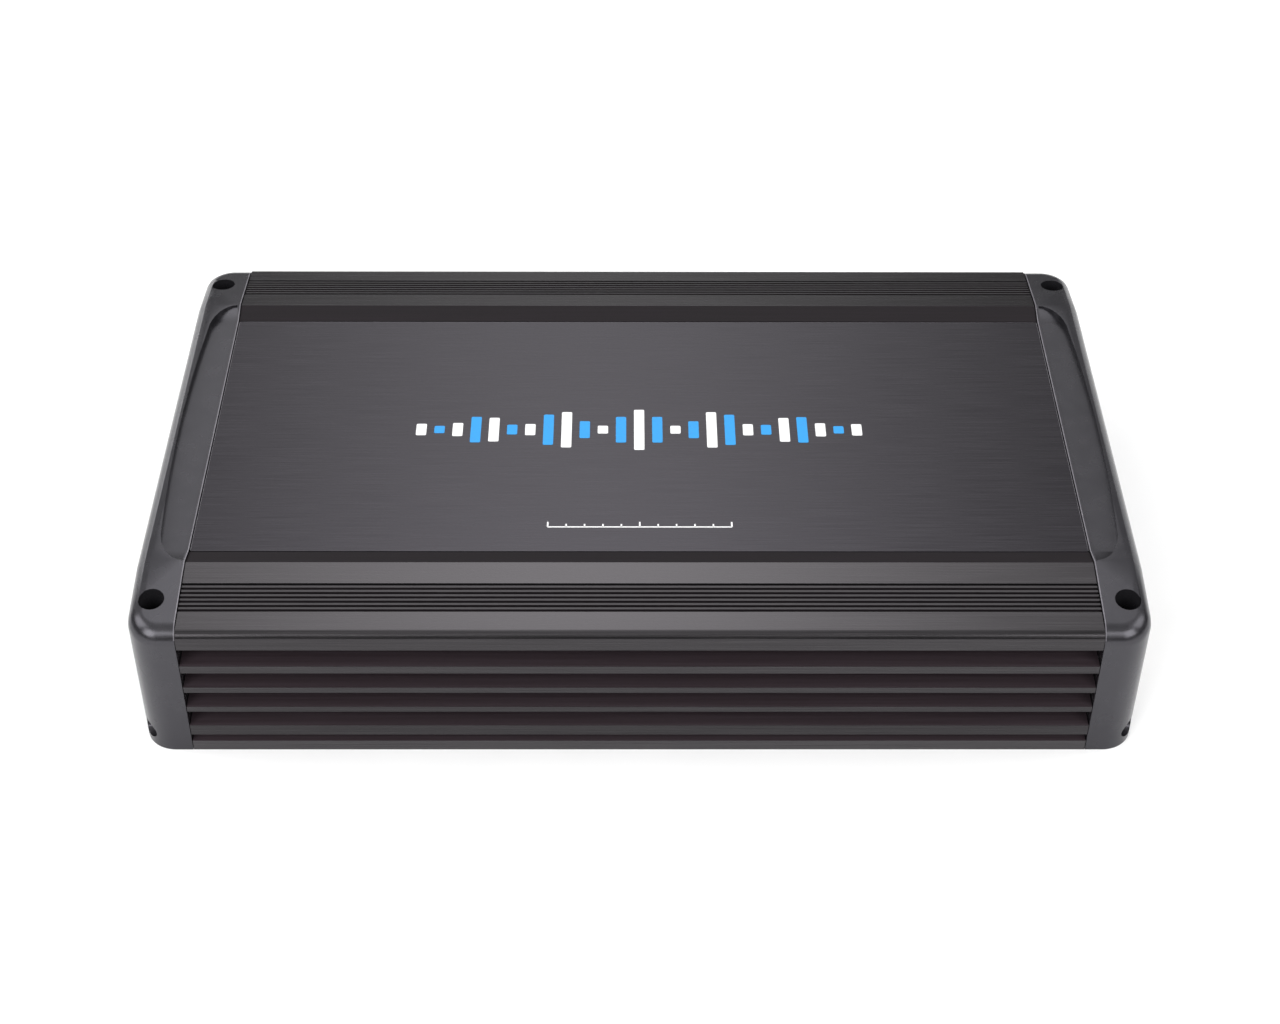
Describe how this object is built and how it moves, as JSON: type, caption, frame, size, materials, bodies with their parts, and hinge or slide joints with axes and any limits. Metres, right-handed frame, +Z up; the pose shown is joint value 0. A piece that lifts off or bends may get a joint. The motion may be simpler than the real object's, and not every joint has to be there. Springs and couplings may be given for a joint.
{
  "type": "car amplifier",
  "caption": "Flat car audio amplifier: finned, grooved dark grey heatsink with brushed top panel, cast end caps, terminals and fuses at one end, jacks and knobs at the other.",
  "frame": {"origin": "middle of the underside, at the middle of the length and the width", "axes": "+X along the body towards the signal end, +Y towards the rear, +Z up through the top panel"},
  "size_m": [0.3108, 0.1908, 0.0543],
  "materials": {
    "anodised_aluminium": "satin dark grey anodised extrusion",
    "brushed_plate": "brushed dark grey anodised sheet",
    "cast_cap": "die cast, satin dark grey coat",
    "black_steel": "black powder coat on sheet steel",
    "zinc_steel": "bright zinc plated",
    "black_plastic": "moulded, fine grain",
    "gold_plate": "gold coloured plating",
    "fibre_board": "green lacquered glass fibre laminate",
    "copper_winding": "enamelled copper wire on a ring core",
    "can_sleeve": "shrunk sleeve on an aluminium can",
    "device_resin": "black epoxy",
    "grey_pad": "silicone sheet",
    "fuse_amber": "clear tinted moulding",
    "lamp_green": "tinted clear lens",
    "lamp_red": "tinted clear lens"
  },
  "bodies": {
    "root": {"heatsink": "anodised_aluminium", "top_panel": "brushed_plate", "left_end_cap": "cast_cap", "right_end_cap": "cast_cap", "bottom_cover": "black_steel", "power_end_plate": "black_steel", "signal_end_plate": "black_steel", "left_cap_screw_lower_1": "zinc_steel", "left_cap_screw_lower_2": "zinc_steel", "left_cap_screw_upper_1": "zinc_steel", "left_cap_screw_upper_2": "zinc_steel", "right_cap_screw_lower_1": "zinc_steel", "right_cap_screw_lower_2": "zinc_steel", "right_cap_screw_upper_1": "zinc_steel", "right_cap_screw_upper_2": "zinc_steel", "bottom_cover_screw_1": "zinc_steel", "bottom_cover_screw_2": "zinc_steel", "bottom_cover_screw_3": "zinc_steel", "bottom_cover_screw_4": "zinc_steel", "front_clamp_bar": "zinc_steel", "rear_clamp_bar": "zinc_steel", "speaker_terminal_block": "black_plastic", "power_terminal_block": "black_plastic", "fuse_holder": "black_plastic", "input_jack_block": "black_plastic", "remote_port": "black_plastic", "phase_switch_body": "black_plastic", "level_potentiometer": "black_plastic", "low_pass_potentiometer": "black_plastic", "subsonic_potentiometer": "black_plastic", "bass_boost_potentiometer": "black_plastic", "input_jack_sleeve_1": "gold_plate", "input_jack_sleeve_2": "gold_plate", "main_circuit_board": "fibre_board", "power_transformer": "copper_winding", "output_inductor": "copper_winding", "capacitor_1": "can_sleeve", "capacitor_2": "can_sleeve", "capacitor_3": "can_sleeve", "front_transistor_1": "device_resin", "front_transistor_2": "device_resin", "rear_transistor_1": "device_resin", "rear_transistor_2": "device_resin", "front_thermal_pad": "grey_pad", "rear_thermal_pad": "grey_pad", "power_lamp": "lamp_green", "protect_lamp": "lamp_red"},
    "level_knob_body": {"level_knob": "black_plastic"},
    "low_pass_knob_body": {"low_pass_knob": "black_plastic"},
    "subsonic_knob_body": {"subsonic_knob": "black_plastic"},
    "bass_boost_knob_body": {"bass_boost_knob": "black_plastic"},
    "phase_slider_body": {"phase_switch_slider": "black_plastic"},
    "speaker_minus_screw_body": {"speaker_minus_terminal_screw": "zinc_steel"},
    "speaker_plus_screw_body": {"speaker_plus_terminal_screw": "zinc_steel"},
    "ground_screw_body": {"ground_terminal_screw": "zinc_steel"},
    "remote_screw_body": {"remote_terminal_screw": "zinc_steel"},
    "battery_screw_body": {"battery_terminal_screw": "zinc_steel"},
    "fuse_1_body": {"fuse_1": "fuse_amber"},
    "fuse_2_body": {"fuse_2": "fuse_amber"},
    "fuse_3_body": {"fuse_3": "fuse_amber"}
  },
  "joints": [
    {"name": "level_turn", "type": "hinge", "parent": "root", "child": "level_knob_body", "pos_m": [0.1426, -0.02667, 0.021], "axis": [-1, 0, 0], "range_deg": [-140, 140]},
    {"name": "low_pass_turn", "type": "hinge", "parent": "root", "child": "low_pass_knob_body", "pos_m": [0.1426, -0.013, 0.021], "axis": [-1, 0, 0], "range_deg": [-140, 140]},
    {"name": "subsonic_turn", "type": "hinge", "parent": "root", "child": "subsonic_knob_body", "pos_m": [0.1426, 0.00067, 0.021], "axis": [-1, 0, 0], "range_deg": [-140, 140]},
    {"name": "bass_boost_turn", "type": "hinge", "parent": "root", "child": "bass_boost_knob_body", "pos_m": [0.1426, 0.01433, 0.021], "axis": [-1, 0, 0], "range_deg": [-140, 140]},
    {"name": "phase_slide", "type": "slide", "parent": "root", "child": "phase_slider_body", "axis": [0, 1, 0], "range_m": [0, 0.004]},
    {"name": "speaker_minus_screw_out", "type": "slide", "parent": "root", "child": "speaker_minus_screw_body", "axis": [-1, 0, 0], "range_m": [0, 0.005]},
    {"name": "speaker_plus_screw_out", "type": "slide", "parent": "root", "child": "speaker_plus_screw_body", "axis": [-1, 0, 0], "range_m": [0, 0.005]},
    {"name": "ground_screw_out", "type": "slide", "parent": "root", "child": "ground_screw_body", "axis": [-1, 0, 0], "range_m": [0, 0.005]},
    {"name": "remote_screw_out", "type": "slide", "parent": "root", "child": "remote_screw_body", "axis": [-1, 0, 0], "range_m": [0, 0.005]},
    {"name": "battery_screw_out", "type": "slide", "parent": "root", "child": "battery_screw_body", "axis": [-1, 0, 0], "range_m": [0, 0.005]},
    {"name": "fuse_1_pull", "type": "slide", "parent": "root", "child": "fuse_1_body", "axis": [-1, 0, 0], "range_m": [0, 0.016]},
    {"name": "fuse_2_pull", "type": "slide", "parent": "root", "child": "fuse_2_body", "axis": [-1, 0, 0], "range_m": [0, 0.016]},
    {"name": "fuse_3_pull", "type": "slide", "parent": "root", "child": "fuse_3_body", "axis": [-1, 0, 0], "range_m": [0, 0.016]}
  ]
}
